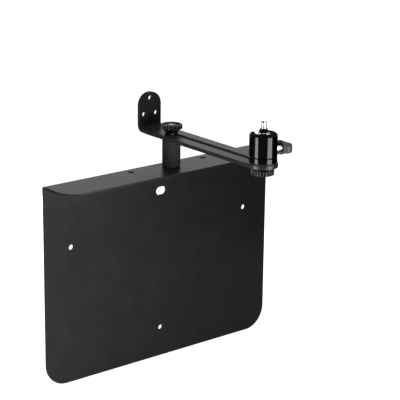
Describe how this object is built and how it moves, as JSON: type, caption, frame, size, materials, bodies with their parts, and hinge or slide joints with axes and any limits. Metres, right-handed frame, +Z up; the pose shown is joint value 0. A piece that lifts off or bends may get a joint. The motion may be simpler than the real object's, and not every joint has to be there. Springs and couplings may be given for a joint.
{
  "type": "headboard projector stand",
  "caption": "Folded plate that hooks over a headboard, with a knurled column, a slotted arm and a small ball head with a stud for a projector.",
  "frame": {"origin": "centre of the plate's front face, which lies against the back of the headboard", "axes": "+X along the plate's width, -Y out over the bed, +Z up"},
  "size_m": [0.3, 0.199, 0.297],
  "materials": {
    "powder_coat": "fine matt powder coat",
    "black_steel": "blackened steel",
    "zinc_steel": "bright zinc plate",
    "nylon": "matt black nylon",
    "pad_rubber": "matt black rubber",
    "knob_plastic": "satin black plastic",
    "wing_plastic": "satin dark grey plastic",
    "bright_steel": "bright turned steel",
    "ball_chrome": "polished chrome",
    "black_anodised": "gloss black anodised"
  },
  "bodies": {
    "frame": {"back_plate": "powder_coat", "column": "black_steel", "column_base_screw": "zinc_steel"},
    "arm_pivot": {"friction_washer": "nylon"},
    "arm": {"arm": "powder_coat"},
    "column_knob": {"column_knob": "knob_plastic", "column_knob_stud": "bright_steel", "column_knob_washer": "black_steel"},
    "head_carriage": {"head_pad": "pad_rubber"},
    "head_knob": {"head_knob": "knob_plastic", "head_knob_stud": "bright_steel", "head_knob_washer": "black_steel"},
    "head": {"head_base": "black_anodised", "head_body": "black_anodised", "ball_cup": "nylon"},
    "ball": {"ball": "ball_chrome"},
    "stem": {"ball_neck": "black_anodised", "top_stud": "bright_steel"},
    "clamp": {"clamp_screw": "bright_steel", "clamp_knob": "wing_plastic"}
  },
  "joints": [
    {"name": "arm_swivel", "type": "hinge", "parent": "frame", "child": "arm_pivot", "pos_m": [0, -0.017, 0.141], "axis": [0, 0, 1], "continuous": true},
    {"name": "arm_slide", "type": "slide", "parent": "arm_pivot", "child": "arm", "axis": [0, -1, 0], "range_m": [-0.045, 0.003]},
    {"name": "head_slide", "type": "slide", "parent": "arm", "child": "head_carriage", "axis": [0, -1, 0], "range_m": [-0.045, 0.003]},
    {"name": "head_pan", "type": "hinge", "parent": "head_carriage", "child": "head", "pos_m": [0, -0.161, 0.1468], "axis": [0, 0, 1], "continuous": true},
    {"name": "ball_tilt", "type": "hinge", "parent": "head", "child": "ball", "pos_m": [0, -0.161, 0.1675], "axis": [1, 0, 0], "range_deg": [-90, 22]},
    {"name": "stem_spin", "type": "hinge", "parent": "ball", "child": "stem", "pos_m": [0, -0.161, 0.1675], "axis": [0, 0, 1], "continuous": true},
    {"name": "column_knob_turn", "type": "hinge", "parent": "frame", "child": "column_knob", "pos_m": [0, -0.017, 0.146], "axis": [0, 0, 1], "range_deg": [0, 360]},
    {"name": "head_knob_turn", "type": "hinge", "parent": "head_carriage", "child": "head_knob", "pos_m": [0, -0.161, 0.142], "axis": [0, 0, -1], "range_deg": [0, 360]},
    {"name": "clamp_turn", "type": "hinge", "parent": "head", "child": "clamp", "pos_m": [0.014, -0.161, 0.1575], "axis": [1, 0, 0], "range_deg": [0, 360]}
  ]
}
